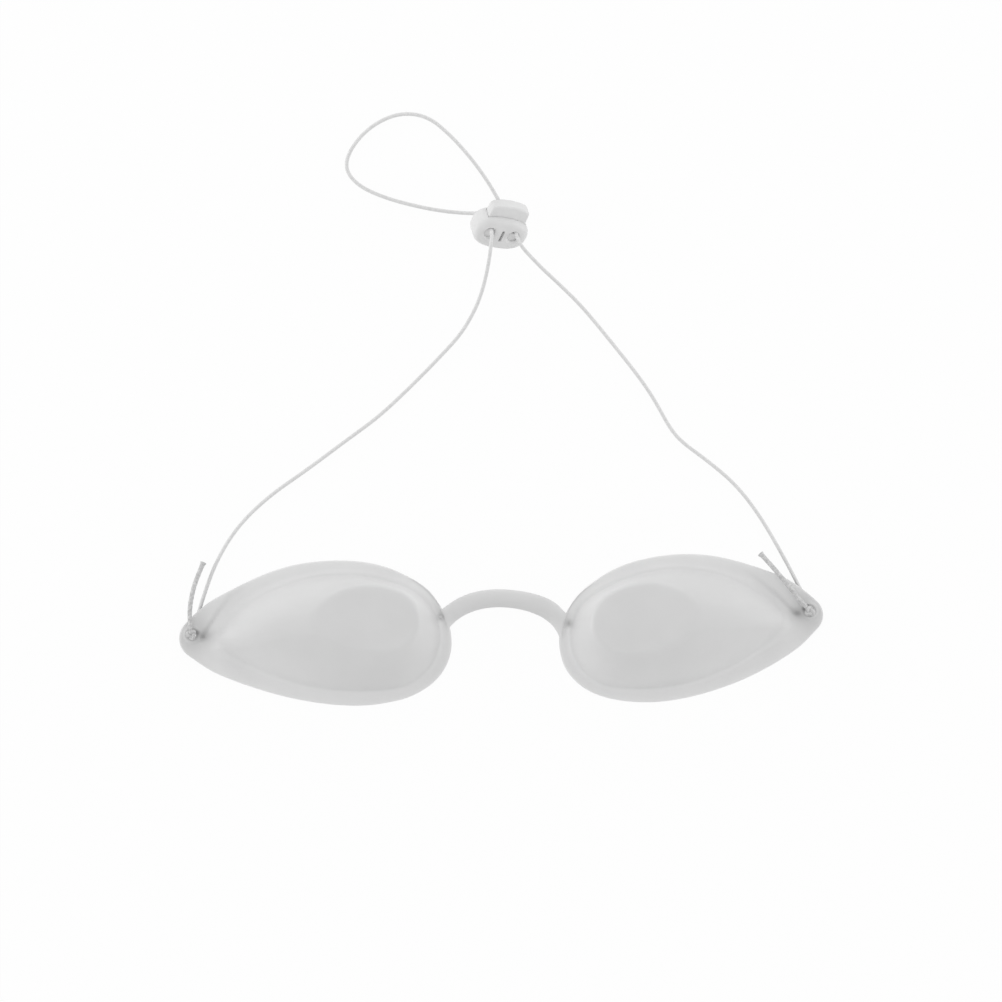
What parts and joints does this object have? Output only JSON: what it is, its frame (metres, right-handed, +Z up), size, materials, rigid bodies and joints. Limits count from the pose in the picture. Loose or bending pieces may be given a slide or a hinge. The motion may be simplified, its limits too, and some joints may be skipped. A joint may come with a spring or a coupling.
{
  "type": "tanning goggles",
  "caption": "Tanning goggles: teardrop eye cups with domed tops, an arched nose bridge, and a round elastic head cord drawn through a push-button cord lock.",
  "frame": {"origin": "bottom centre of the moulded goggles, which lie rims down, without the head cord", "axes": "+X to the wearer's left along the width, as the picture shows it to the right, +Y to the brow side, +Z up out of the domes"},
  "size_m": [0.15, 0.1387, 0.0126],
  "materials": {
    "goggles_plastic": "milky grey flexible plastic, soft satin gloss",
    "elastic_cord": "braided grey elastic cord",
    "lock_plastic": "milky grey moulded plastic, satin",
    "spring_steel": "bright spring wire"
  },
  "bodies": {
    "left_half": {"left_eye_cup": "goggles_plastic", "nose_bridge": "goggles_plastic", "left_strand": "elastic_cord", "right_strand_upper": "elastic_cord", "right_strand_lower": "elastic_cord", "left_knot": "elastic_cord", "left_tail": "elastic_cord"},
    "right_half": {"right_eye_cup": "goggles_plastic", "right_knot": "elastic_cord", "right_tail": "elastic_cord"},
    "cord_lock": {"lock_body": "lock_plastic", "cord_loop": "elastic_cord", "lock_spring": "spring_steel"},
    "button": {"lock_button": "lock_plastic"}
  },
  "joints": [
    {"name": "bridge_flex", "type": "hinge", "parent": "left_half", "child": "right_half", "pos_m": [0.00017, 0.00753, 0.0009], "axis": [0, -1, 0], "range_deg": [0, 45], "stiffness_Nm_per_rad": 0.02, "deforming": ["nose_bridge", "right_strand_lower"]},
    {"name": "lock_slide", "type": "slide", "parent": "left_half", "child": "cord_lock", "axis": [0, 1, 0], "range_m": [-0.045, 0.025], "deforming": ["left_strand", "right_strand_upper"]},
    {"name": "button_press", "type": "slide", "parent": "cord_lock", "child": "button", "axis": [0.394, 0.8078, 0.4384], "range_m": [-0.0019, 0], "stiffness_N_per_m": 400, "deforming": ["lock_spring"]}
  ]
}
